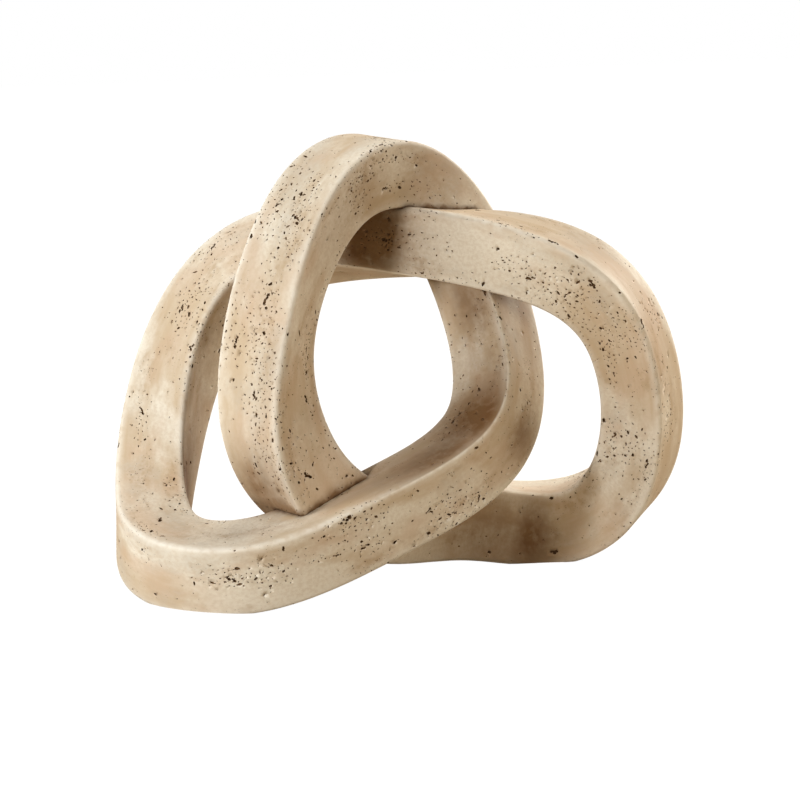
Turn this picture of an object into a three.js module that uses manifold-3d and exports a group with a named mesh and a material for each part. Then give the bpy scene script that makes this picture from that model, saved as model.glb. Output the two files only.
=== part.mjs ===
// A free-standing knot sculpture. One square strand is tied as an overhand knot whose ends meet.
// It is cast as three arms that are pinned and bonded where the strand passes behind itself.
// Millimetres, +Z up, front towards -Y. The origin is on the floor below the middle of the knot.
import * as THREE from "three";
import { mergeVertices } from "three/addons/utils/BufferGeometryUtils.js";
import Module from "manifold-3d";

const wasm = await Module();
wasm.setup();

// The whole knot
const knotWidth = 310.4;
const knotDepth = 189.6;
const knotHeight = 244.5;
const strandThickness = 38; // of the square strand, where it is neither drawn out nor swollen

// Stations round the knot, in order along the strand: the points that pull its centre line, as
// shares of the width, depth and height, how far its front face leans round it in degrees, and how
// stout it is there against its usual thickness.
const stations = [
  { across: -0.119, back: -0.142, up: 0.139, lean: -5, stout: 1.16 }, // behind the front bar
  { across: -0.277, back: -0.163, up: 0.29, lean: 2, stout: 1.13 }, // foot of the leg
  { across: -0.295, back: -0.1, up: 0.545, lean: 44, stout: 1.01 }, // leg
  { across: -0.181, back: -0.06, up: 0.873, lean: 29, stout: 1.01 }, // shoulder, over the left side
  { across: 0.002, back: 0.04, up: 0.946, lean: 17, stout: 1 }, // top of the arch
  { across: 0.157, back: 0.043, up: 0.809, lean: 0, stout: 1 }, // falling behind the band
  { across: 0.187, back: -0.151, up: 0.512, lean: -25, stout: 1 }, // right side of the middle window
  { across: 0.125, back: -0.299, up: 0.299, lean: -26, stout: 1.03 }, // turning into the front bar
  { across: -0.106, back: -0.283, up: 0.192, lean: -25, stout: 1.03 }, // front bar, over the leg's foot
  { across: -0.338, back: -0.252, up: 0.082, lean: -27, stout: 1.05 }, // front bar, down to the floor
  { across: -0.466, back: 0.026, up: 0.078, lean: -17, stout: 1.08 }, // left corner, on the floor
  { across: -0.376, back: 0.31, up: 0.164, lean: -31, stout: 1.03 }, // rising from the left corner
  { across: -0.313, back: 0.368, up: 0.473, lean: -55, stout: 1 }, // left side
  { across: -0.161, back: 0.401, up: 0.733, lean: -69, stout: 1 }, // left side, behind the leg
  { across: 0.03, back: -0.001, up: 0.763, lean: -31, stout: 1 }, // band, across the arch
  { across: 0.254, back: -0.357, up: 0.728, lean: -9, stout: 1.06 }, // band, over the arch's right side
  { across: 0.386, back: -0.388, up: 0.54, lean: 9, stout: 0.95 }, // right side, upper
  { across: 0.447, back: -0.304, up: 0.204, lean: 18, stout: 1 }, // right side, lower
  { across: 0.357, back: -0.11, up: 0.045, lean: -4, stout: 1.13 }, // right corner, on the floor
  { across: 0.125, back: 0.01, up: 0.115, lean: 8, stout: 1.11 }, // lower bar
];
const edgeRadius = 3.2; // softened edges of the strand
const quarterTurn = Math.PI / 2; // the faces swap round by this much in one lap of the knot

// Joints between the castings
const bondGap = 0.3; // between two end faces
const seatClearance = 0.3; // between a casting and whatever is let into it or laid across it
const dowelRadius = 3;
const dowelLength = 36;
const dowelChamfer = 0.8;
const dowelSpread = 9; // from the middle of the end face to each dowel, sideways
const dowelDepth = 8; // from the middle of the end face, away from the strand in front

// Pads let into the ground flats
const padRadius = 5;
const padThickness = 1.5;
const padEdge = 0.3;
const padProud = 0.6; // how far the pads hold the ground flats off the floor
const padPlaces = {
  left_front_pad: { across: -0.387, back: -0.189 },
  left_back_pad: { across: -0.444, back: -0.042 },
  right_front_pad: { across: 0.302, back: -0.157 },
  right_back_pad: { across: 0.222, back: 0.005 },
};

// Fineness of the sweep
const lapSteps = 160;
const notchSteps = 7; // of the strand in front, to each side of a crossing
const edgeSteps = 4;
const roundSteps = 20;

const stone = new THREE.MeshStandardMaterial({ color: 0xc8b697, roughness: 0.85, metalness: 0 });
const steel = new THREE.MeshStandardMaterial({ color: 0xa9abad, roughness: 0.35, metalness: 1 });
const felt = new THREE.MeshStandardMaterial({ color: 0x6f6558, roughness: 1, metalness: 0 });

// A smooth closed run of one value of the stations, by cubic B-spline weights.
function valueAt(key, lap) {
  const place = lap * stations.length;
  const before = Math.floor(place);
  const f = place - before;
  const weights = [(1 - f) ** 3, 3 * f ** 3 - 6 * f ** 2 + 4, 3 * (f + f ** 2 - f ** 3) + 1, f ** 3];
  return weights.reduce((sum, weight, k) => {
    const index = THREE.MathUtils.euclideanModulo(before - 1 + k, stations.length);
    return sum + (weight / 6) * stations[index][key];
  }, 0);
}

function centreAt(lap) {
  return new THREE.Vector3(
    valueAt("across", lap) * knotWidth,
    valueAt("back", lap) * knotDepth,
    valueAt("up", lap) * knotHeight,
  );
}

function directionAt(lap) {
  const small = 1e-4;
  return centreAt(lap + small).sub(centreAt(lap - small)).normalize();
}

// Carries the front direction once round the strand without spinning it.
const carried = [new THREE.Vector3(0, -1, 0).projectOnPlane(directionAt(0)).normalize()];
for (let step = 1; step <= lapSteps; step++) {
  carried.push(carried[step - 1].clone().projectOnPlane(directionAt(step / lapSteps)).normalize());
}

// The twist still missing for the faces to meet a quarter turn on, spread evenly over the lap.
const drift = Math.atan2(
  directionAt(0).cross(carried[0]).dot(carried[lapSteps]),
  carried[0].dot(carried[lapSteps]),
);
const spreadTwist = THREE.MathUtils.euclideanModulo(Math.PI - quarterTurn - drift, 2 * Math.PI) - Math.PI;

// Middle, direction and face directions of the section at a step, in this lap or the next.
function sectionAt(step) {
  const lap = Math.floor(step / lapSteps);
  const within = step - lap * lapSteps;
  const share = within / lapSteps;
  const lean = THREE.MathUtils.degToRad(valueAt("lean", share));
  const along = directionAt(share);
  const roll = spreadTwist * share + lean - lap * quarterTurn;
  const front = carried[within].clone().applyAxisAngle(along, roll);
  const side = along.clone().cross(front);
  const half = (valueAt("stout", share) * strandThickness) / 2;
  return { centre: centreAt(share), along, front, side, half };
}

// Points round a square section with soft edges, made thicker all round by grow.
function sectionRing(section, grow, shift) {
  const flat = section.half - edgeRadius;
  const radius = edgeRadius + grow;
  const ring = [];
  const addPoint = (front, side) => {
    const point = section.centre.clone().addScaledVector(section.along, shift);
    ring.push(point.addScaledVector(section.front, front).addScaledVector(section.side, side));
  };
  for (let corner = 0; corner < 4; corner++) {
    const start = corner * quarterTurn;
    const frontSign = corner === 0 || corner === 3 ? 1 : -1;
    const sideSign = corner < 2 ? 1 : -1;
    for (let step = 0; step <= edgeSteps; step++) {
      const angle = start + (quarterTurn * step) / edgeSteps;
      addPoint(frontSign * flat + radius * Math.cos(angle), sideSign * flat + radius * Math.sin(angle));
    }
    const middle = start + quarterTurn;
    addPoint((flat + radius) * Math.cos(middle), (flat + radius) * Math.sin(middle));
  }
  return ring;
}

// The strand from one step to another, with flat ends that stand back by endGap.
function sweepStrand(first, last, grow = 0, endGap = 0) {
  const rings = [];
  for (let step = first; step <= last; step++) {
    const shift = step === first ? endGap : step === last ? -endGap : 0;
    rings.push(sectionRing(sectionAt(step), grow, shift));
  }
  const count = rings[0].length;
  const faces = [];
  for (let ring = 0; ring < rings.length - 1; ring++) {
    for (let k = 0; k < count; k++) {
      const a = ring * count + k;
      const b = ring * count + ((k + 1) % count);
      faces.push(a, b, b + count, a, b + count, a + count);
    }
  }
  const lastRing = (rings.length - 1) * count;
  for (let k = 1; k < count - 1; k++) {
    faces.push(0, k + 1, k);
    faces.push(lastRing, lastRing + k, lastRing + k + 1);
  }
  return new THREE.BufferGeometry().setFromPoints(rings.flat()).setIndex(faces);
}

function solidFrom(geometry) {
  const plain = geometry.clone();
  plain.deleteAttribute("normal");
  plain.deleteAttribute("uv");
  const merged = mergeVertices(plain);
  const triVerts = new Uint32Array(merged.index.array);
  return new wasm.Manifold(
    new wasm.Mesh({ numProp: 3, vertProperties: merged.attributes.position.array, triVerts }),
  );
}

function geometryFrom(solid) {
  const { vertProperties, triVerts } = solid.getMesh();
  const geometry = new THREE.BufferGeometry();
  geometry.setAttribute("position", new THREE.BufferAttribute(vertProperties, 3));
  geometry.setIndex(new THREE.BufferAttribute(triVerts, 1));
  geometry.computeVertexNormals();
  return geometry;
}

// Where the strand passes closest behind itself, looked for between two pairs of shares of the lap.
function closestPass(underFrom, underTo, overFrom, overTo) {
  let best = { gap: Infinity };
  for (let under = Math.round(underFrom * lapSteps); under <= underTo * lapSteps; under++) {
    for (let over = Math.round(overFrom * lapSteps); over <= overTo * lapSteps; over++) {
      const gap = centreAt(under / lapSteps).distanceTo(centreAt(over / lapSteps));
      if (gap < best.gap) best = { gap, under, over };
    }
  }
  return best;
}

const lowerCrossing = closestPass(0, 0.05, 0.35, 0.48);
const rightCrossing = closestPass(0.22, 0.31, 0.68, 0.76);
const leftCrossing = closestPass(0.63, 0.67, 0.12, 0.18);

// Dowels of one joint: straight through the bond, behind the strand that lies across it.
function dowelPlaces(crossing) {
  const end = sectionAt(crossing.under);
  const away = end.centre.clone().sub(centreAt(crossing.over / lapSteps)).projectOnPlane(end.along);
  away.normalize();
  const sideways = end.along.clone().cross(away);
  const middle = end.centre.clone().addScaledVector(away, dowelDepth);
  const turn = new THREE.Quaternion().setFromUnitVectors(new THREE.Vector3(0, 1, 0), end.along);
  return [-1, 1].map((side) => ({
    position: middle.clone().addScaledVector(sideways, side * dowelSpread),
    turn,
  }));
}

function dowelHole(place) {
  const radius = dowelRadius + seatClearance;
  const hole = new THREE.CylinderGeometry(radius, radius, dowelLength + 2 * seatClearance, roundSteps);
  return hole.applyQuaternion(place.turn).translate(place.position.x, place.position.y, place.position.z);
}

function dowelGeometry() {
  const end = dowelLength / 2;
  const outline = [
    new THREE.Vector2(0, -end),
    new THREE.Vector2(dowelRadius - dowelChamfer, -end),
    new THREE.Vector2(dowelRadius, dowelChamfer - end),
    new THREE.Vector2(dowelRadius, end - dowelChamfer),
    new THREE.Vector2(dowelRadius - dowelChamfer, end),
    new THREE.Vector2(0, end),
  ];
  return new THREE.LatheGeometry(outline, roundSteps);
}

function padRecess(place) {
  const top = padThickness + seatClearance;
  const radius = padRadius + seatClearance;
  const recess = new THREE.CylinderGeometry(radius, radius, 2 * top, roundSteps).rotateX(quarterTurn);
  return recess.translate(place.across * knotWidth, place.back * knotDepth, 0);
}

function padGeometry() {
  const outline = [
    new THREE.Vector2(0, 0),
    new THREE.Vector2(padRadius - padEdge, 0),
    new THREE.Vector2(padRadius, padEdge),
    new THREE.Vector2(padRadius, padThickness - padEdge),
    new THREE.Vector2(padRadius - padEdge, padThickness),
    new THREE.Vector2(0, padThickness),
  ];
  return new THREE.LatheGeometry(outline, roundSteps).rotateX(quarterTurn);
}

// Everything below the ground flats.
function groundCut() {
  const reach = 1000;
  return new THREE.BoxGeometry(reach, reach, reach).translate(0, 0, padProud - reach / 2);
}

// One arm of the knot: the strand between two under-crossings, notched for the strand in front of
// each of its ends, drilled for the dowels and ground flat where it stands.
function castArm(start, end) {
  const lap = end.under < start.under ? lapSteps : 0;
  let arm = solidFrom(sweepStrand(start.under, end.under + lap, 0, bondGap / 2));
  for (const crossing of [start, end]) {
    const across = sweepStrand(crossing.over - notchSteps, crossing.over + notchSteps, seatClearance);
    arm = arm.subtract(solidFrom(across));
    for (const place of dowelPlaces(crossing)) {
      arm = arm.subtract(solidFrom(dowelHole(place)));
    }
  }
  arm = arm.subtract(solidFrom(groundCut()));
  for (const place of Object.values(padPlaces)) {
    arm = arm.subtract(solidFrom(padRecess(place)));
  }
  return geometryFrom(arm);
}

const knot = new THREE.Group();

function addMesh(name, geometry, material) {
  const mesh = new THREE.Mesh(geometry, material);
  mesh.name = name;
  knot.add(mesh);
  return mesh;
}

addMesh("arch_casting", castArm(lowerCrossing, rightCrossing), stone);
addMesh("left_loop_casting", castArm(rightCrossing, leftCrossing), stone);
addMesh("right_loop_casting", castArm(leftCrossing, lowerCrossing), stone);

const joints = { lower: lowerCrossing, right: rightCrossing, left: leftCrossing };
for (const [jointName, crossing] of Object.entries(joints)) {
  dowelPlaces(crossing).forEach((place, k) => {
    const dowel = addMesh(`${jointName}_joint_dowel_${k + 1}`, dowelGeometry(), steel);
    dowel.position.copy(place.position);
    dowel.quaternion.copy(place.turn);
  });
}

for (const [name, place] of Object.entries(padPlaces)) {
  const pad = addMesh(name, padGeometry(), felt);
  pad.position.set(place.across * knotWidth, place.back * knotDepth, 0);
}

export default knot;
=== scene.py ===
# Knot sculpture: one square strand tied into a closed overhand knot, pitted like travertine.
import bpy
import math
import random
import numpy as np
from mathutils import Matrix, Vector, noise
from mathutils.bvhtree import BVHTree
from mathutils.kdtree import KDTree


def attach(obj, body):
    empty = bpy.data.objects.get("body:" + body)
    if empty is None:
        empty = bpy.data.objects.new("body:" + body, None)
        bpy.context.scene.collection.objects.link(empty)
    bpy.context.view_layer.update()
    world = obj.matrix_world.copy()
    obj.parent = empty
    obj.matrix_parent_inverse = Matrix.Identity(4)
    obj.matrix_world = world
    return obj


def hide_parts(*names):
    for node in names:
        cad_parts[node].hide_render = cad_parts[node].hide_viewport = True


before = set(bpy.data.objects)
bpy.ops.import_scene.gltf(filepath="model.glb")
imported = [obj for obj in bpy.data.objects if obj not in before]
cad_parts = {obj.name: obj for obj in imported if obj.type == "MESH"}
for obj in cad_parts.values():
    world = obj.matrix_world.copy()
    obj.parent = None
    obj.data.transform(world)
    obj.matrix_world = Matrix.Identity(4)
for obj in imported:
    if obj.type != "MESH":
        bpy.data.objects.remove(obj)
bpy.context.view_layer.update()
mm = 0.001
print("frame loaded with", len(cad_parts), "nodes")

# Camera, as the photo was taken: from the left of the front and a little above
camera = {
    "turn": 31.3,  # degrees left of the front
    "rise": 10.2,
    "distance": 1.5,
    "lens": 122.7,
    "clipStart": 0.05,
    "aim": (0.0006, -0.0138, 0.0983),
}


# The direction to something that stands some degrees left of the front and over the floor
def towards(left, rise):
    left, rise = math.radians(left), math.radians(rise)
    flat = math.cos(rise)
    return Vector((-math.sin(left) * flat, -math.cos(left) * flat, math.sin(rise)))


toCamera = towards(camera["turn"], camera["rise"])
bpy.ops.object.camera_add(location=Vector(camera["aim"]) + toCamera * camera["distance"])
photoCamera = bpy.context.object
photoCamera.name = "photoCamera"
photoCamera.rotation_mode = "QUATERNION"
photoCamera.rotation_quaternion = (-toCamera).to_track_quat("-Z", "Y")
photoCamera.data.lens = camera["lens"]
photoCamera.data.clip_start = camera["clipStart"]
bpy.context.scene.camera = photoCamera
bpy.context.scene.view_settings.view_transform = "Standard"

# The strand: the casting's own course, thickness and edges
strand = {
    "width": 310.4 * mm,
    "depth": 189.6 * mm,
    "height": 244.5 * mm,
    "thickness": 38 * mm,
    "edgeRadius": 3.2 * mm,
    "faceMargin": 0.3,  # of the edge radius, not reached by places on a face
    "skin": 0.15 * mm,  # how far the finished surface lies inside the casting
    "unevenness": 0.5 * mm,  # of the hand finish, only ever inwards
    # of the finish: share, scale along, scale across, shift
    "waves": ((0.32, 26, 34, 0), (0.18, 75, 90, 7)),
    "ringSpacing": 2.2 * mm,
    "flatPoints": 12,  # between two edges
    "edgePoints": 5,  # round one edge
    "lapSteps": 160,  # the casting's steps round the knot
    "nudge": 1e-4,  # of a lap, to either side, for the direction
}
# across, back and up as shares of the box, lean in degrees and stoutness, in order along the strand.
# They were fitted to edge lines marked on the photo, then rounded, and some were moved
stations = np.array([
    (-0.119, -0.142, 0.139, -5, 1.16),  # behind the front bar
    (-0.277, -0.163, 0.29, 2, 1.13),
    (-0.295, -0.1, 0.545, 44, 1.01),  # leg
    (-0.181, -0.06, 0.873, 29, 1.01),
    (0.002, 0.04, 0.946, 17, 1),  # top of the arch
    (0.157, 0.043, 0.809, 0, 1),
    (0.187, -0.151, 0.512, -25, 1),
    (0.125, -0.299, 0.299, -26, 1.03),
    (-0.106, -0.283, 0.192, -25, 1.03),  # front bar
    (-0.338, -0.252, 0.082, -27, 1.05),
    (-0.466, 0.026, 0.078, -17, 1.08),  # left corner
    (-0.376, 0.31, 0.164, -31, 1.03),
    (-0.313, 0.368, 0.473, -55, 1),  # left side
    (-0.161, 0.401, 0.733, -69, 1),
    (0.03, -0.001, 0.763, -31, 1),  # band
    (0.254, -0.357, 0.728, -9, 1.06),
    (0.386, -0.388, 0.54, 9, 0.95),  # right side
    (0.447, -0.304, 0.204, 18, 1),
    (0.357, -0.11, 0.045, -4, 1.13),  # right corner
    (0.125, 0.01, 0.115, 8, 1.11),
])


# One column of the stations at a share of the lap, on a smooth closed curve that they pull
def stationValue(column, share):
    place = np.asarray(share, float) * len(stations)
    before = np.floor(place).astype(int)
    f = place - before
    weights = ((1 - f) ** 3, 3 * f ** 3 - 6 * f ** 2 + 4, 3 * (f + f ** 2 - f ** 3) + 1, f ** 3)
    values = [stations[(before - 1 + k) % len(stations), column] for k in range(len(weights))]
    return sum(w / 6 * value for w, value in zip(weights, values))


def middleAt(share):
    box = (strand["width"], strand["depth"], strand["height"])
    return np.stack([stationValue(k, share) * side for k, side in enumerate(box)], axis=-1)


def unit(vectors):
    return vectors / np.linalg.norm(vectors, axis=-1, keepdims=True)


def dot(a, b):
    return np.sum(a * b, axis=-1, keepdims=True)


def directionAt(share):
    share, nudge = np.asarray(share), strand["nudge"]
    return unit(middleAt(share + nudge) - middleAt(share - nudge))


# The front direction is carried round without spinning, at the casting's steps
lapDirections = directionAt(np.arange(strand["lapSteps"] + 1) / strand["lapSteps"])
carried = [np.array((0.0, -1.0, 0.0))]
for along in lapDirections:
    carried.append(unit(carried[-1] - dot(carried[-1], along) * along))
carried = np.array(carried[1:])
sideways = np.cross(lapDirections[0], carried[0])
drift = math.atan2(np.dot(sideways, carried[-1]), np.dot(carried[0], carried[-1]))
spreadTwist = (math.pi / 2 - drift) % (2 * math.pi) - math.pi


# Middle, direction, front, side and half thickness of the section at each step
def sectionsAt(steps):
    steps = np.asarray(steps, float)
    lap = np.floor(steps / strand["lapSteps"])
    within = steps - lap * strand["lapSteps"]
    share = within / strand["lapSteps"]
    along = directionAt(share)
    lower = np.floor(within).astype(int)
    f = (within - lower)[:, None]
    flat = carried[lower] * (1 - f) + carried[np.minimum(lower + 1, strand["lapSteps"])] * f
    flat = unit(flat - dot(flat, along) * along)
    roll = (spreadTwist * share + np.radians(stationValue(3, share)) - lap * math.pi / 2)[:, None]
    front = np.cos(roll) * flat + np.sin(roll) * np.cross(along, flat)
    half = stationValue(4, share) * strand["thickness"] / 2
    return middleAt(share), along, front, np.cross(along, front), half


# Length along the strand at every tenth of a step, from 10 steps before a lap to 20 after it
fineSteps = np.arange(-100, strand["lapSteps"] * 10 + 200) / 10
fineHops = np.diff(middleAt(fineSteps / strand["lapSteps"]), axis=0)
fineLengths = np.concatenate([[0], np.cumsum(np.linalg.norm(fineHops, axis=1))])


def lengthAt(steps):
    return np.interp(steps, fineSteps, fineLengths)


def newObject(name, points, faces):
    mesh = bpy.data.meshes.new(name)
    mesh.from_pydata([tuple(p) for p in points], [], faces)
    mesh.validate()
    piece = bpy.data.objects.new(name, mesh)
    bpy.context.collection.objects.link(piece)
    return piece


def pickOnly(*pieces):
    bpy.ops.object.select_all(action="DESELECT")
    for piece in pieces:
        piece.select_set(True)
    bpy.context.view_layer.objects.active = pieces[0]


# How far the hand finish takes off at a point, as a share of the unevenness
def finishAt(along, a, b):
    level = 0.5
    for share, scaleAlong, scaleAcross, shift in strand["waves"]:
        level += share * noise.noise((along * scaleAlong, a * scaleAcross, b * scaleAcross + shift))
    return level


# A closed length of the strand, with the hand finish on it. It is swept in code, because the
# twisted section only meets itself a quarter turn on, which no curve bevel gives.
def sweepStrand(name, first, last, grow=0.0, endGap=0.0):
    length = lengthAt(last) - lengthAt(first)
    rings = max(4, round(length / strand["ringSpacing"])) + 1
    steps = np.interp(np.linspace(lengthAt(first), lengthAt(last), rings), fineLengths, fineSteps)
    middle, along, front, side, half = sectionsAt(steps)
    middle[0] += along[0] * endGap
    middle[-1] -= along[-1] * endGap
    corner, turnOf = [], []
    for k, (a, b) in enumerate(((1, 1), (-1, 1), (-1, -1), (1, -1))):
        for step in range(strand["edgePoints"] + 1):
            corner.append((a, b))
            turnOf.append((k + step / strand["edgePoints"]) * math.pi / 2)
        nextCorner = ((-1, 1), (-1, -1), (1, -1), (1, 1))[k]
        for step in range(1, strand["flatPoints"] + 1):
            f = step / (strand["flatPoints"] + 1)
            corner.append((a + (nextCorner[0] - a) * f, b + (nextCorner[1] - b) * f))
            turnOf.append((k + 1) * math.pi / 2)
    corner, turnOf = np.array(corner), np.array(turnOf)
    outwards = np.stack([np.cos(turnOf), np.sin(turnOf)], axis=1)
    count = len(corner)
    points = np.zeros((rings, count, 3))
    for k in range(rings):
        flat = corner * (half[k] - strand["edgeRadius"])
        ringLength = lengthAt(steps[k])
        corners = flat + outwards * strand["edgeRadius"]
        level = np.array([finishAt(ringLength, a, b) for a, b in corners])
        taken = strand["unevenness"] * np.clip(level, 0, 1)
        radius = strand["edgeRadius"] - strand["skin"] + grow - taken
        section = flat + outwards * radius[:, None]
        points[k] = middle[k] + section[:, :1] * front[k] + section[:, 1:] * side[k]
    faces = []
    for ring in range(rings - 1):
        for k in range(count):
            a, b = ring * count + k, ring * count + (k + 1) % count
            faces.append((a, b, b + count, a + count))
    faces.append(tuple(reversed(range(count))))
    faces.append(tuple(range((rings - 1) * count, rings * count)))
    return newObject(name, points.reshape(-1, 3), faces)


def cutAway(piece, cutter):
    pickOnly(piece)
    cut = piece.modifiers.new("cut", "BOOLEAN")
    cut.operation = "DIFFERENCE"
    cut.solver = "MANIFOLD"
    cut.object = cutter
    bpy.ops.object.modifier_apply(modifier=cut.name)
    bpy.data.objects.remove(cutter, do_unlink=True)


# Pits: what the stone has lost, as cavities in the surface. Ragged ones are several lumps in a row
pits = {
    "ragged": {"count": 44, "radius": (0.55 * mm, 1.3 * mm), "roundness": 2, "lumps": 4},
    "holes": {"count": 320, "radius": (0.45 * mm, 0.95 * mm), "roundness": 2, "lumps": 1},
    "specks": {"count": 2300, "radius": (0.28 * mm, 0.5 * mm), "roundness": 1, "lumps": 1},
    "clusters": 26,  # along one casting
    "clusterShare": 0.76,  # of the pits lie in clusters
    "clusterSteps": (0.6, 2.6),  # spread along the strand
    "clusterWidth": (0.04, 0.16),  # and round the section
    "wornCluster": (0.9, 0.1),  # both, round a worn place
    "mostlySmall": 1.6,  # power that favours the small radii
    "keepOff": 1,  # steps between the pits and the end of a casting
    "lumpRoom": 2.2,  # radii kept free for each lump
    "ownRoom": 0.4,  # and round the pit
    "slant": 0.5,  # of a row of lumps to the strand
    "lumpSpacing": 1.15,  # in radii, as the next
    "lumpStray": 0.45,
    "lumpTurn": 0.4,
    "lumpSize": (0.55, 1),
    "bury": (0.0, 0.3),
    "stretch": 1.9,  # of a single pit, at most
    "lumpStretch": 1.3,
    "narrow": (0.7, 1),
    "depth": 0.85,
    "roughness": 0.5,
    "roughScale": 1.9,
}


# A ball for each kind of pit, from which the lumps are copied
def lumpShape(roundness):
    bpy.ops.mesh.primitive_ico_sphere_add(subdivisions=roundness, radius=1)
    lump = bpy.context.object
    points = np.array([v.co[:] for v in lump.data.vertices])
    faces = [tuple(f.vertices) for f in lump.data.polygons]
    bpy.data.objects.remove(lump, do_unlink=True)
    return points, faces


# Places for the pits of one casting, as (step, round the section from 0 to 4) pairs
def scatterPits(dice, clusters, first, last, count):
    for _ in range(count):
        if dice.random() < pits["clusterShare"]:
            step, around, spread, width = dice.choice(clusters)
            yield dice.gauss(step, spread), dice.gauss(around, width) % 4
        else:
            yield dice.uniform(first, last), dice.uniform(0, 4)


# The place on the surface at a step and a way round the section, sunk a little, with its directions
def surfacePlace(step, around, bury):
    middle, along, front, side, half = (value[0] for value in sectionsAt([step]))
    face, offset = int(around) % 4, (around % 1 - 0.5) * 2
    normal = (front, side, -front, -side)[face]
    across = (side, -front, -side, front)[face]
    reach = half - strand["edgeRadius"] * strand["faceMargin"]
    beyond = max(0, abs(offset) * reach - (half - strand["edgeRadius"]))
    drop = strand["skin"] + strand["unevenness"] / 2
    drop += strand["edgeRadius"] - math.sqrt(max(0, strand["edgeRadius"] ** 2 - beyond ** 2))
    return middle + normal * (half - drop - bury) + across * offset * reach, along, across, normal


# Carves one casting's pits, the large ones first, with no two of a kind into each other
def carvePits(piece, arm):
    first, last = arm["from"], arm["to"]
    dice = random.Random(arm["seed"])
    clusters = [(step, around, *pits["wornCluster"]) for step, around in arm["worn"]]
    for _ in range(pits["clusters"]):
        centre = (dice.uniform(first, last), dice.uniform(0, 4))
        spread = (dice.uniform(*pits["clusterSteps"]), dice.uniform(*pits["clusterWidth"]))
        clusters.append(centre + spread)
    stepLength = (lengthAt(last) - lengthAt(first)) / (last - first)
    for kind in ("ragged", "holes", "specks"):
        look = pits[kind]
        lump, lumpFaces = lumpShape(look["roundness"])
        small, large = look["radius"]
        layers = [[] for _ in range(look["lumps"])]
        taken = []
        places = list(arm["worn"]) if kind == "ragged" else []
        places += scatterPits(dice, clusters, first, last, look["count"])
        for step, around in places:
            if not first + pits["keepOff"] < step < last - pits["keepOff"]:
                continue
            radius = small + (large - small) * dice.random() ** pits["mostlySmall"]
            reach = radius * (pits["lumpRoom"] * look["lumps"] + pits["ownRoom"])
            place, along, across, normal = surfacePlace(step, around, 0)
            if any(np.linalg.norm(place - other) < reach + far for other, far in taken):
                continue
            taken.append((place, reach))
            heading = dice.gauss(0, pits["slant"])
            for k in range(look["lumps"]):
                size = radius * (dice.uniform(*pits["lumpSize"]) if k else 1)
                ahead = (k - (look["lumps"] - 1) / 2) * radius * pits["lumpSpacing"]
                aside = dice.gauss(0, pits["lumpStray"]) * radius if look["lumps"] > 1 else 0
                forward = ahead * math.cos(heading) - aside * math.sin(heading)
                sideways = ahead * math.sin(heading) + aside * math.cos(heading)
                there, along, across, normal = surfacePlace(
                    step + forward / stepLength,
                    around + sideways / strand["thickness"],
                    size * dice.uniform(*pits["bury"]),
                )
                turned = heading + dice.gauss(0, pits["lumpTurn"])
                axisA = along * math.cos(turned) + across * math.sin(turned)
                axisB = across * math.cos(turned) - along * math.sin(turned)
                stretch = pits["stretch"] if look["lumps"] == 1 else pits["lumpStretch"]
                wide = size * dice.uniform(1, stretch)
                shift = Vector((dice.uniform(0, 50), arm["seed"], k))
                level = [noise.noise(Vector(p) * pits["roughScale"] + shift) for p in lump]
                rough = 1 + pits["roughness"] * np.array(level)[:, None]
                sides = np.array([wide, size * dice.uniform(*pits["narrow"]), size * pits["depth"]])
                shape = lump * rough * sides
                outline = shape[:, :1] * axisA + shape[:, 1:2] * axisB + shape[:, 2:] * normal
                layers[k].append(there + outline)
        for layer in layers:
            starts = range(0, len(layer) * len(lump), len(lump))
            faces = [tuple(i + start for i in face) for start in starts for face in lumpFaces]
            cutter = newObject("pitCutter", np.concatenate(layer), faces)
            cutter.data.materials.append(pitWall)
            pickOnly(cutter)
            bpy.ops.object.mode_set(mode="EDIT")
            bpy.ops.mesh.select_all(action="SELECT")
            bpy.ops.mesh.normals_make_consistent(inside=False)
            bpy.ops.object.mode_set(mode="OBJECT")
            cutAway(piece, cutter)


# How the finished surface is measured
survey = {
    "rays": 40,
    "goldenAngle": 2.39996,  # between one ray and the next
    "lift": 1.5 * mm,  # of the rays' start over the surface
    "reach": 90 * mm,
    "ringSpacing": 4 * mm,  # of the samples along the strand
    "roundStart": 0.08,  # and round it, in faces
    "roundSpacing": 0.14,
    "blend": 5,  # samples for each vertex
    "blendReach": 0.5 * mm,
    "seamReach": 4 * mm,
    "edgeReach": 1.5 * mm,  # of the ridge's rubbed wear and painted highlight, into the flat
    "edgeFull": 0.7,  # of the edge radius, where the rubbed wear and painted highlight are strongest
    "stepParts": 20,  # for finding a vertex's place on the middle line
}


# How much of the open air the stone itself shuts out, from 0 to 1, at each point of the surface
def shelterAt(points, normals, arms):
    rays, reach = [], survey["reach"]
    for k in range(survey["rays"]):
        height = math.sqrt(1 - (k + 0.5) / survey["rays"])
        turned = k * survey["goldenAngle"]
        aside = math.sqrt(1 - height ** 2)
        rays.append((aside * math.cos(turned), aside * math.sin(turned), height))
    blocked = []
    for point, normal in zip(points, normals):
        normal = Vector(normal)
        sideways = normal.orthogonal().normalized()
        upwards = normal.cross(sideways)
        start = Vector(point) + normal * survey["lift"]
        hits = 0
        for x, y, z in rays:
            ray = sideways * x + upwards * y + normal * z
            hits += any(arm.ray_cast(start, ray, reach)[0] is not None for arm in arms)
        blocked.append(hits / len(rays))
    return np.array(blocked)


# How deep each place lies in any of the spots, which keep to one face each
def cloudAt(steps, around, spots):
    cloud = np.zeros(len(steps))
    for step, face, long, wide, strength in spots:
        level = strength * np.exp(-((steps - step) / long) ** 2 - ((around - face) / wide) ** 2)
        cloud = np.maximum(cloud, np.where(np.floor(around) == math.floor(face), level, 0))
    return cloud
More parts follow.
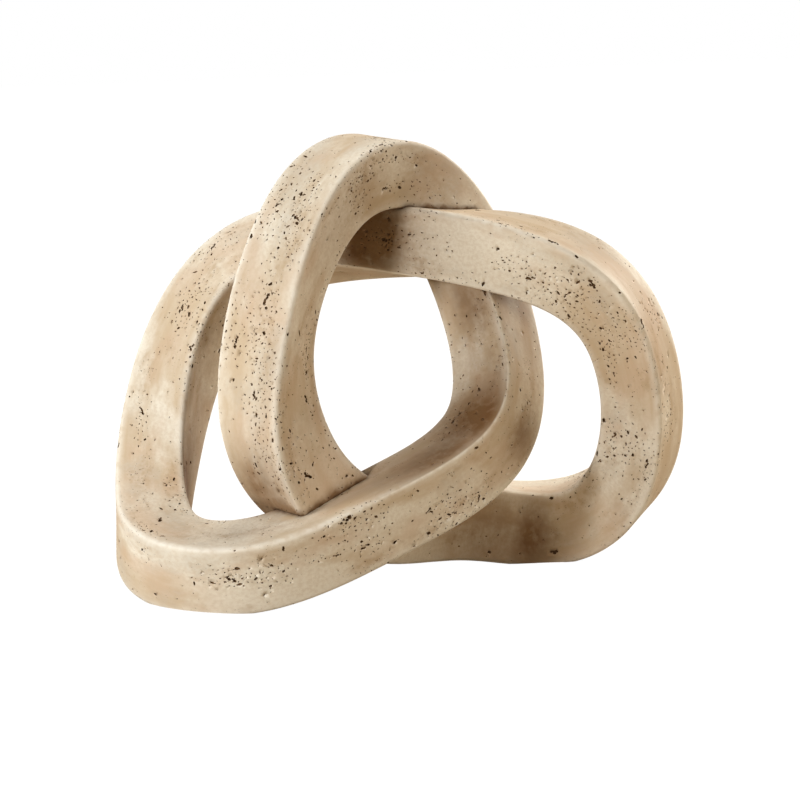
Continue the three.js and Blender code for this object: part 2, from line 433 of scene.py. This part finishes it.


# Stored at each vertex: its place in the straightened strand, how near it is to an edge, how deep
# in a pit, how sheltered, how near another arm and how deep in one of the spots of painted shade
def measureSurface(piece, arm, trees, others):
    first, last = arm["from"], arm["to"]
    parts = survey["stepParts"]
    steps = np.arange(first * parts, last * parts + 1) / parts
    middle, along, front, side, half = sectionsAt(steps)
    tree = KDTree(len(steps))
    for k, point in enumerate(middle):
        tree.insert(point, k)
    tree.balance()
    points = np.array([v.co[:] for v in piece.data.vertices])
    near = np.array([tree.find(p)[1] for p in points])
    offset = points - middle[near]
    a, b = dot(offset, front[near])[:, 0], dot(offset, side[near])[:, 0]
    far = lengthAt(steps[near]) + dot(offset, along[near])[:, 0]
    flat = half[near] - strand["edgeRadius"]
    edgeReach = survey["edgeReach"]
    edge = np.minimum(abs(a), abs(b)) - flat + edgeReach
    edge = np.clip(edge / (edgeReach + strand["edgeRadius"] * survey["edgeFull"]), 0, 1)
    lowest = half[near] - strand["skin"] - strand["unevenness"]
    depth = np.clip(lowest - np.maximum(abs(a), abs(b)), 0, 1)
    around = (np.arctan2(b, a) / (math.pi / 2) + 0.5) % 4
    # Painted shade in the listed spots, where one arm shades another
    paintedShade = cloudAt(steps[near], around, arm["paintedShadeSpots"])
    seam = np.zeros(len(points))
    for other in others:
        for k, p in enumerate(points):
            distance = other.find_nearest(p, survey["seamReach"])[3]
            if distance is not None:
                seam[k] = max(seam[k], 1 - distance / survey["seamReach"])
    # The filled joints stay pale
    fromEnds = np.minimum(far - lengthAt(first), lengthAt(last) - far)
    seam *= np.clip(fromEnds / survey["seamReach"], 0, 1)
    ringLengths = np.arange(lengthAt(first), lengthAt(last), survey["ringSpacing"])
    rings = np.interp(ringLengths, fineLengths, fineSteps)
    places = np.arange(survey["roundStart"], 4, survey["roundSpacing"])
    samples = [surfacePlace(step, place, 0) for step in rings for place in places]
    samplePoints, sampleNormals = [s[0] for s in samples], [s[3] for s in samples]
    sampleShelter = shelterAt(samplePoints, sampleNormals, trees)
    nearest = KDTree(len(samples))
    for k, point in enumerate(samplePoints):
        nearest.insert(point, k)
    nearest.balance()
    shelter = np.zeros(len(points))
    for k, p in enumerate(points):
        found = nearest.find_n(p, survey["blend"])
        weights = [1 / (distance + survey["blendReach"]) ** 2 for _, _, distance in found]
        shelter[k] = np.dot(weights, [sampleShelter[index] for _, index, _ in found]) / sum(weights)
    # Less of the sheltered wash of patina and painted shade in the listed spots
    shelter *= 1 - cloudAt(steps[near], around, arm["lessWashAndShade"])
    measures = {"edge": edge, "depth": depth, "shelter": shelter, "seam": seam, "paintedShade": paintedShade}
    for name, values in measures.items():
        attribute = piece.data.attributes.new(name, "FLOAT", "POINT")
        attribute.data.foreach_set("value", values.astype(np.float32))
    straightened = np.stack([far, a, b], axis=1).astype(np.float32)
    attribute = piece.data.attributes.new("strandPlace", "FLOAT_VECTOR", "POINT")
    attribute.data.foreach_set("vector", straightened.ravel())


# Materials. This makes a node, sets its inputs and links those that are given as sockets
def addNode(tree, kind, inputs=None, **settings):
    made = tree.nodes.new(kind)
    for key, value in settings.items():
        setattr(made, key, value)
    for key, value in (inputs or {}).items():
        if isinstance(value, bpy.types.NodeSocket):
            tree.links.new(value, made.inputs[key])
        else:
            made.inputs[key].default_value = value
    return made


def newGroup(name, inputs, outputs):
    group = bpy.data.node_groups.new(name, "ShaderNodeTree")
    for key, kind in inputs.items():
        group.interface.new_socket(key, in_out="INPUT", socket_type=kind)
    for key, kind in outputs.items():
        group.interface.new_socket(key, in_out="OUTPUT", socket_type=kind)
    return group, group.nodes.new("NodeGroupInput"), group.nodes.new("NodeGroupOutput")


def useGroup(tree, group, inputs):
    return addNode(tree, "ShaderNodeGroup", inputs, node_tree=group)


def attributeOf(tree, name, output="Fac"):
    return addNode(tree, "ShaderNodeAttribute", attribute_name=name).outputs[output]


def newMaterial(name):
    material = bpy.data.materials.new(name)
    material.use_nodes = True
    tree = material.node_tree
    tree.nodes.clear()
    shader = tree.nodes.new("ShaderNodeBsdfPrincipled")
    tree.links.new(shader.outputs[0], tree.nodes.new("ShaderNodeOutputMaterial").inputs[0])
    return material, tree, shader


def mixColour(tree, factor, first, second, blend="MIX"):
    inputs = {0: factor, 6: first, 7: second}
    return addNode(tree, "ShaderNodeMix", inputs, data_type="RGBA", blend_type=blend).outputs[2]


def ramp(tree, value, low, high, toLow=0.0, toHigh=1.0):
    inputs = {"Value": value, "From Min": low, "From Max": high, "To Min": toLow, "To Max": toHigh}
    return addNode(tree, "ShaderNodeMapRange", inputs, interpolation_type="SMOOTHSTEP").outputs[0]


def noiseOf(tree, place, scale, detail=2.0, roughness=0.5):
    inputs = {"Vector": place, "Scale": scale, "Detail": detail, "Roughness": roughness}
    return addNode(tree, "ShaderNodeTexNoise", inputs).outputs[0]


def stretched(tree, place, along, shift=0.0):
    inputs = {"Vector": place, "Scale": (along, 1, 1), "Location": (shift, shift, shift)}
    return addNode(tree, "ShaderNodeMapping", inputs).outputs[0]


def times(tree, first, second):
    return addNode(tree, "ShaderNodeMath", {0: first, 1: second}, operation="MULTIPLY").outputs[0]


def minus(tree, first, second):
    return addNode(tree, "ShaderNodeMath", {0: first, 1: second}, operation="SUBTRACT").outputs[0]


def larger(tree, first, second):
    return addNode(tree, "ShaderNodeMath", {0: first, 1: second}, operation="MAXIMUM").outputs[0]


def vectorNode(tree, operation, inputs):
    return addNode(tree, "ShaderNodeVectorMath", inputs, operation=operation).outputs[0]


stoneLook = {
    "cream": (0.81, 0.71, 0.56, 1),
    "beige": (0.58, 0.43, 0.27, 1),
    "pink": (0.59, 0.40, 0.25, 1),
    "grey": (0.55, 0.48, 0.38, 1),
    # paler colour of rubbed wear and painted highlight on the ridges
    "rubbedAndHighlit": (0.88, 0.80, 0.67, 1),
    "stain": (0.43, 0.275, 0.14, 1),
    "patinaAndShade": (0.30, 0.195, 0.105, 1),  # brown patina and painted shade, multiplied into the stone where it is sheltered and in the spots of painted shade
    "crease": (0.10, 0.055, 0.027, 1),
    "speck": (0.13, 0.07, 0.035, 1),
    "patches": (210, 3),  # scale and detail
    # Where in the patches each of these begins and is full, and its share there
    "stained": (0.35, 0.65, 0.08, 0.55),
    # rubbed wear and painted highlight along the ridges
    "rubbedAndHighlitEdge": (0.3, 0.6, 0.3, 0.8),
    # painted shade in the listed spots, broken up by the patches
    "paintedShadePatches": (0.2, 0.6, 0.8, 1.0),
    "creased": (0.25, 0.7, 0.45, 1.0),
    "washAndShade": (0.22, 0.66, 0.0, 0.9),  # the same for the patina and painted shade, in the shelter
    "speckMost": 0.88,
    "grainScale": 1500,
    "grainHeight": 0.12,
    "bumpStrength": 0.6,
    "bumpHeight": 0.35 * mm,
    "roughness": 0.6,
    "specular": 0.2,
}
# Layers of the tint over the beige: colour, share, stretch along the strand, shift, scale, detail,
# roughness, and where in the noise the layer begins and is full
tintLayers = (
    ("cream", 1.0, 0.5, 0, 24, 5, 0.6, 0.41, 0.57),
    ("pink", 0.65, 0.6, 4, 30, 4, 0.6, 0.48, 0.66),
    ("grey", 0.5, 0.7, 9, 34, 4, 0.6, 0.5, 0.7),
    ("cream", 0.3, 0.16, 3, 130, 3, 0.5, 0.35, 0.7),
    ("beige", 0.38, 1, 0, 520, 4, 0.65, 0.35, 0.68),
)
pitLook = {
    "wall": (0.19, 0.11, 0.055, 1),
    "grime": (0.08, 0.043, 0.021, 1),
    "deep": (0.04, 0.021, 0.011, 1),
    "deepAt": 1.4 * mm,
    "roughness": 0.9,
    "specular": 0.05,
    "grimeScale": 700,
    "grimy": (0.35, 0.65),  # where in the noise the grime begins and is full
    "bumpStrength": 0.5,
    "bumpHeight": 0.3 * mm,
}
# Pinholes in three sizes: cells in a metre, where on the drifts they begin and are at their
# largest, and their radius there in cells
pinholeLook = {
    "sizes": ((360, 0.48, 0.64, 0.18), (640, 0.43, 0.62, 0.23), (1050, 0.39, 0.6, 0.25)),
    "wobble": 0.0011,
    "wobbleScale": 1400,
    "cellStretch": 0.75,  # along the strand
    "driftStretch": (0.4, 5),  # along the strand, and the shift
    "driftNoise": (70, 4, 0.62),  # scale, detail and roughness
    "driftStain": (0.5, 0.7),  # where in the drifts the stain begins and is full
    "outside": 0.12,  # of the radius, away from the drifts
    "empty": 0.45,  # chance of a cell without a pinhole
    "softness": 0.05,
}

# Clouds and faint bands of the stone, in the straightened strand
placeInput = {"Place": "NodeSocketVector"}
stoneTint, tintIn, tintOut = newGroup("stoneTint", placeInput, {"Colour": "NodeSocketColor"})
place = tintIn.outputs["Place"]
tint = stoneLook["beige"]
for colour, share, along, shift, scale, detail, roughness, low, high in tintLayers:
    layer = stretched(stoneTint, place, along, shift)
    layer = ramp(stoneTint, noiseOf(stoneTint, layer, scale, detail, roughness), low, high)
    tint = mixColour(stoneTint, times(stoneTint, layer, share), tint, stoneLook[colour])
stoneTint.links.new(tint, tintOut.inputs[0])

# Pinholes too small to carve, in drifts that follow the strand
pinOutputs = {"Mask": "NodeSocketFloat", "Drift": "NodeSocketFloat"}
pinholes, pinIn, pinOut = newGroup("pinholes", placeInput, pinOutputs)
place = pinIn.outputs["Place"]
wobbleInputs = {"Vector": place, "Scale": pinholeLook["wobbleScale"], "Detail": 2}
wobble = addNode(pinholes, "ShaderNodeTexNoise", wobbleInputs).outputs["Color"]
wobble = vectorNode(pinholes, "SUBTRACT", {0: wobble, 1: (0.5, 0.5, 0.5)})
wobble = vectorNode(pinholes, "SCALE", {0: wobble, "Scale": pinholeLook["wobble"]})
bent = vectorNode(pinholes, "ADD", {0: place, 1: wobble})
drifts = stretched(pinholes, place, *pinholeLook["driftStretch"])
drifts = noiseOf(pinholes, drifts, *pinholeLook["driftNoise"])
masks = []
for scale, low, high, size in pinholeLook["sizes"]:
    cellPlace = stretched(pinholes, bent, pinholeLook["cellStretch"], scale)
    cells = addNode(pinholes, "ShaderNodeTexVoronoi", {"Vector": cellPlace, "Scale": scale})
    chance = addNode(pinholes, "ShaderNodeSeparateColor", {"Color": cells.outputs["Color"]})
    drifted = ramp(pinholes, drifts, low, high, pinholeLook["outside"], 1.0)
    chosen = ramp(pinholes, chance.outputs[0], pinholeLook["empty"], 1.0)
    radius = times(pinholes, times(pinholes, drifted, chosen), size)
    gap = minus(pinholes, radius, cells.outputs["Distance"])
    masks.append(ramp(pinholes, gap, 0.0, pinholeLook["softness"]))
mask = larger(pinholes, larger(pinholes, masks[0], masks[1]), masks[2])
pinholes.links.new(mask, pinOut.inputs[0])
pinholes.links.new(ramp(pinholes, drifts, *pinholeLook["driftStain"]), pinOut.inputs[1])


def addBump(tree, shader, height, look):
    inputs = {"Height": height, "Strength": look["bumpStrength"], "Distance": look["bumpHeight"]}
    bump = addNode(tree, "ShaderNodeBump", inputs)
    tree.links.new(bump.outputs[0], shader.inputs["Normal"])


def stoneMaterial():
    material, tree, shader = newMaterial("castStone")
    place = attributeOf(tree, "strandPlace", "Vector")
    edge, shelter = attributeOf(tree, "edge"), attributeOf(tree, "shelter")
    seam, paintedShade = attributeOf(tree, "seam"), attributeOf(tree, "paintedShade")
    colour = useGroup(tree, stoneTint, {"Place": place}).outputs[0]
    worn = useGroup(tree, pinholes, {"Place": place})
    holes = worn.outputs["Mask"]
    patches = noiseOf(tree, place, *stoneLook["patches"])
    stained = ramp(tree, patches, *stoneLook["stained"])
    stained = times(tree, worn.outputs["Drift"], stained)
    colour = mixColour(tree, stained, colour, stoneLook["stain"])
    # The ridges are paler: rubbed wear and a painted highlight
    rubbedAndHighlit = times(tree, edge, ramp(tree, patches, *stoneLook["rubbedAndHighlitEdge"]))
    colour = mixColour(tree, rubbedAndHighlit, colour, stoneLook["rubbedAndHighlit"])
    # Painted shade in the listed spots
    paintedShade = times(tree, paintedShade, ramp(tree, patches, *stoneLook["paintedShadePatches"]))
    # Patina and painted shade where the stone is sheltered; the darker of this and the spots
    # multiplies the stone
    washedAndShaded = larger(tree, ramp(tree, shelter, *stoneLook["washAndShade"]), paintedShade)
    colour = mixColour(tree, washedAndShaded, colour, stoneLook["patinaAndShade"], "MULTIPLY")
    creased = ramp(tree, patches, *stoneLook["creased"])
    creased = times(tree, times(tree, seam, seam), creased)
    colour = mixColour(tree, creased, colour, stoneLook["crease"])
    colour = mixColour(tree, times(tree, holes, stoneLook["speckMost"]), colour, stoneLook["speck"])
    tree.links.new(colour, shader.inputs["Base Color"])
    shader.inputs["Roughness"].default_value = stoneLook["roughness"]
    shader.inputs["Specular IOR Level"].default_value = stoneLook["specular"]
    grain = noiseOf(tree, place, stoneLook["grainScale"])
    height = minus(tree, times(tree, grain, stoneLook["grainHeight"]), holes)
    addBump(tree, shader, height, stoneLook)
    return material


def pitMaterial():
    material, tree, shader = newMaterial("pitWall")
    grime = noiseOf(tree, attributeOf(tree, "strandPlace", "Vector"), pitLook["grimeScale"])
    grimy = ramp(tree, grime, *pitLook["grimy"])
    colour = mixColour(tree, grimy, pitLook["wall"], pitLook["grime"])
    deep = ramp(tree, attributeOf(tree, "depth"), 0.0, pitLook["deepAt"])
    colour = mixColour(tree, deep, colour, pitLook["deep"])
    tree.links.new(colour, shader.inputs["Base Color"])
    shader.inputs["Roughness"].default_value = pitLook["roughness"]
    shader.inputs["Specular IOR Level"].default_value = pitLook["specular"]
    addBump(tree, shader, grime, pitLook)
    return material


castStone = stoneMaterial()
pitWall = pitMaterial()
print("stone finishes made")


# The step of the arm in front at each joint
joints = {"lower": 66, "right": 114, "left": 28}
# The three castings, each from one place behind the strand to the next, with the places where it
# is most worn, as (step, round the section), and the spots of painted shade and those with less of
# the sheltered wash of patina and painted shade, as (step, round the section, reach along, reach
# round, strength)
castings = {
    "arch": {
        "from": 3, "to": 41, "joints": ("lower", "right"), "seed": 5,
        "worn": [(24, 3.56), (23.3, 3.62), (22.6, 3.66), (23.1, 3.26), (22.5, 3.07), (21.6, 3.8),
                 (18.3, 3.58), (15.9, 3.24), (16.6, 3.47), (27.1, 0.23), (13.1, 3.64)],
        "paintedShadeSpots": [(25, 0.5, 6, 0.8, 0.42), (34.5, 0.5, 4.5, 0.8, 0.36), (7.5, 3.4, 2.6, 0.6, 0.85)],
        "lessWashAndShade": [],
    },
    "left_loop": {
        "from": 41, "to": 107, "joints": ("right", "left"), "seed": 8,
        "worn": [(98.8, 1.5), (98.7, 1.77), (99.3, 1.59), (102.6, 1.21), (60.9, 0.22), (60.1, 0.25),
                 (59.2, 0.2), (73.8, 0.56), (73, 0.6), (72.1, 0.54), (67.1, 0.94), (66.4, 0.88),
                 (61.1, 0.46)],
        "paintedShadeSpots": [(45.5, 1.35, 3, 0.5, 0.75), (50, 1.3, 3, 0.7, 0.32), (55.5, 1.3, 4.4, 0.8, 1.1),
                  (60, 1.2, 4.5, 0.5, 0.95), (54.6, 0.3, 1.6, 0.35, 0.75), (77, 1.5, 6, 0.45, 0.4),
                  (87.5, 2.2, 5, 0.6, 1.1), (94, 2.5, 8, 0.5, 0.25)],
        "lessWashAndShade": [(45.5, 0.5, 3.5, 1, 1), (67.5, 1.3, 3, 0.7, 0.8)],
    },
    "right_loop": {
        "from": 107, "to": 163, "joints": ("left", "lower"), "seed": 13,
        "worn": [(111.8, 1.53), (112.6, 1.5), (118.8, 1.6), (121.1, 1.61), (121.5, 1.45),
                 (122, 1.2), (126, 1.56), (125.5, 1.3), (133.4, 1.74), (134.1, 1.49),
                 (134.7, 1.15)],
        "paintedShadeSpots": [(110.9, 1.5, 2.3, 0.8, 1.3), (147, 1.4, 2.2, 0.7, 1.05),
                  (150.5, 1.4, 5.5, 0.7, 0.75)],
        "lessWashAndShade": [],
    },
}
fitting = {
    "jointGap": 0.06 * mm,
    "lapGap": 0.06 * mm,
    "lapReach": 7,  # steps of the arm in front, to either side
    "seat": 0.3 * mm,  # round the dowels and pads
    "weld": 0.001 * mm,
    "groundFlat": 0.6 * mm,
    "smoothBelow": math.radians(38),
}


# A cutter a little bigger than a piece that is let into the stone
def seatCutter(node):
    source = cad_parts[node]
    cutter = source.copy()
    cutter.data = source.data.copy()
    bpy.context.collection.objects.link(cutter)
    pickOnly(cutter)
    bpy.ops.object.mode_set(mode="EDIT")
    bpy.ops.mesh.select_all(action="SELECT")
    bpy.ops.mesh.remove_doubles(threshold=fitting["weld"])
    bpy.ops.transform.shrink_fatten(value=-fitting["seat"])
    bpy.ops.object.mode_set(mode="OBJECT")
    return cutter


# The arms without pits, for measuring how near and how open they are to each other
trees = {}
for name, arm in castings.items():
    bare = sweepStrand(name + "_bare", arm["from"], arm["to"])
    points, faces = [v.co for v in bare.data.vertices], [f.vertices for f in bare.data.polygons]
    trees[name] = BVHTree.FromPolygons(points, faces)
    bpy.data.objects.remove(bare, do_unlink=True)

for name, arm in castings.items():
    piece = sweepStrand(name + "_stone", arm["from"], arm["to"], endGap=fitting["jointGap"] / 2)
    piece.data.materials.append(castStone)
    piece.data.materials.append(pitWall)
    carvePits(piece, arm)
    for joint in arm["joints"]:
        over, reach = joints[joint], fitting["lapReach"]
        cutAway(piece, sweepStrand("lapCutter", over - reach, over + reach, grow=fitting["lapGap"]))
        for k in (1, 2):
            cutAway(piece, seatCutter(f"{joint}_joint_dowel_{k}"))
    for pad in ("left_front_pad", "left_back_pad", "right_front_pad", "right_back_pad"):
        if pad.startswith(name.split("_")[0]):
            cutAway(piece, seatCutter(pad))
    pickOnly(piece)
    bpy.ops.object.mode_set(mode="EDIT")
    bpy.ops.mesh.select_all(action="SELECT")
    ground = (0, 0, fitting["groundFlat"])
    bpy.ops.mesh.bisect(plane_co=ground, plane_no=(0, 0, 1), use_fill=True, clear_inner=True)
    bpy.ops.object.mode_set(mode="OBJECT")
    others = [tree for other, tree in trees.items() if other != name]
    measureSurface(piece, arm, list(trees.values()), others)
    bpy.ops.object.shade_smooth_by_angle(angle=fitting["smoothBelow"])
    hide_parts(name + "_casting")
    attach(piece, "root")
    triangles = sum(len(f.vertices) - 2 for f in piece.data.polygons)
    print(name, "casting finished with", triangles, "triangles")


# Dowels and pads keep their shapes and get their own finish
steelLook = {
    "dull": (0.50, 0.51, 0.52, 1),
    "bright": (0.62, 0.63, 0.64, 1),
    # Where in the streaks the roughness begins to rise and is full, and its least and most
    "roughness": (0.3, 0.7, 0.28, 0.42),
    "streakScale": 2400,
}


def dowelMaterial():
    material, tree, shader = newMaterial("drawnSteel")
    place = addNode(tree, "ShaderNodeTexCoord").outputs["Object"]
    streaks = noiseOf(tree, place, steelLook["streakScale"])
    colour = mixColour(tree, streaks, steelLook["dull"], steelLook["bright"])
    tree.links.new(colour, shader.inputs["Base Color"])
    roughness = ramp(tree, streaks, *steelLook["roughness"])
    tree.links.new(roughness, shader.inputs["Roughness"])
    shader.inputs["Metallic"].default_value = 1
    return material


feltLook = {
    "dark": (0.05, 0.042, 0.035, 1),
    "light": (0.13, 0.11, 0.09, 1),
    "roughness": 0.95,
    "fibres": (3800, 4, 0.7),  # scale, detail and roughness
    "bumpStrength": 0.7,
    "bumpHeight": 0.2 * mm,
}


def feltMaterial():
    material, tree, shader = newMaterial("padFelt")
    place = addNode(tree, "ShaderNodeTexCoord").outputs["Object"]
    fibres = noiseOf(tree, place, *feltLook["fibres"])
    colour = mixColour(tree, fibres, feltLook["dark"], feltLook["light"])
    tree.links.new(colour, shader.inputs["Base Color"])
    shader.inputs["Roughness"].default_value = feltLook["roughness"]
    addBump(tree, shader, fibres, feltLook)
    return material


drawnSteel = dowelMaterial()
padFelt = feltMaterial()
for name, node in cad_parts.items():
    finish = drawnSteel if "dowel" in name else padFelt if "pad" in name else None
    if finish:
        node.data.materials.clear()
        node.data.materials.append(finish)
print("dowels and pads finished")

# Floor: white to the camera, paper to everything else
floorLook = {
    "size": 8,
    "colour": (0.42, 0.36, 0.28, 1),
    "roughness": 0.9,
    "glow": 1.25,
    "whiteToCamera": 0.8,
}
bpy.ops.object.select_all(action="DESELECT")
bpy.ops.mesh.primitive_plane_add(size=floorLook["size"], location=(0, 0, 0))
floor = bpy.context.object
floor.name = "floor"
floorPaper, tree, shader = newMaterial("floorPaper")
shader.inputs["Base Color"].default_value = floorLook["colour"]
shader.inputs["Roughness"].default_value = floorLook["roughness"]
white = addNode(tree, "ShaderNodeEmission", {"Color": (1, 1, 1, 1), "Strength": floorLook["glow"]})
seen = addNode(tree, "ShaderNodeLightPath").outputs["Is Camera Ray"]
seen = times(tree, seen, floorLook["whiteToCamera"])
blend = addNode(tree, "ShaderNodeMixShader", {0: seen, 1: shader.outputs[0], 2: white.outputs[0]})
tree.links.new(blend.outputs[0], tree.nodes["Material Output"].inputs[0])
floor.data.materials.append(floorPaper)

# World: white where it is seen, a faint warm light elsewhere
skyLook = {"colour": (1, 0.92, 0.82, 1), "strength": 0.02}
world = bpy.data.worlds.new("studio")
bpy.context.scene.world = world
world.use_nodes = True
tree = world.node_tree
tree.nodes.clear()
rays = addNode(tree, "ShaderNodeLightPath")
seen = larger(tree, rays.outputs["Is Camera Ray"], rays.outputs["Is Glossy Ray"])
seen = larger(tree, seen, rays.outputs["Is Transmission Ray"])
fill = {"Color": skyLook["colour"], "Strength": skyLook["strength"]}
soft = addNode(tree, "ShaderNodeBackground", fill)
white = addNode(tree, "ShaderNodeBackground", {"Color": (1, 1, 1, 1), "Strength": 1.0})
blend = addNode(tree, "ShaderNodeMixShader", {0: seen, 1: soft.outputs[0], 2: white.outputs[0]})
tree.links.new(blend.outputs[0], addNode(tree, "ShaderNodeOutputWorld").inputs[0])

# Lamps: degrees left of the camera and above the floor, size, power and colour. All stand at the
# same distance from a point in the middle of the sculpture
lampAim = Vector((0, 0, 0.12))
lampDistance = 1.3
lamps = {
    "keyBox": {"left": 40, "rise": 13, "size": 0.16, "power": 9.3, "colour": (0.91, 0.95, 1)},
    "sideBox": {"left": 70, "rise": 22, "size": 0.3, "power": 9.2, "colour": (0.88, 0.94, 1)},
    "rightBox": {"left": -42, "rise": 8, "size": 0.5, "power": 3.4, "colour": (1, 0.87, 0.67)},
    "fillBox": {"left": -104, "rise": 38, "size": 0.6, "power": 6.5, "colour": (1, 0.97, 0.93)},
    "rimBox": {"left": -134, "rise": 18, "size": 0.4, "power": 9.5, "colour": (1, 0.98, 0.95)},
    "topBox": {"left": 180, "rise": 66, "size": 0.5, "power": 7.3, "colour": (1, 0.98, 0.94)},
}
for name, lamp in lamps.items():
    away = towards(camera["turn"] + lamp["left"], lamp["rise"])
    bpy.ops.object.light_add(type="AREA", location=lampAim + away * lampDistance)
    box = bpy.context.object
    box.name = name
    box.data.size = lamp["size"]
    box.data.energy = lamp["power"]
    box.data.color = lamp["colour"]
    box.rotation_mode = "QUATERNION"
    box.rotation_quaternion = (-away).to_track_quat("-Z", "Y")
print("floor and lamps placed")
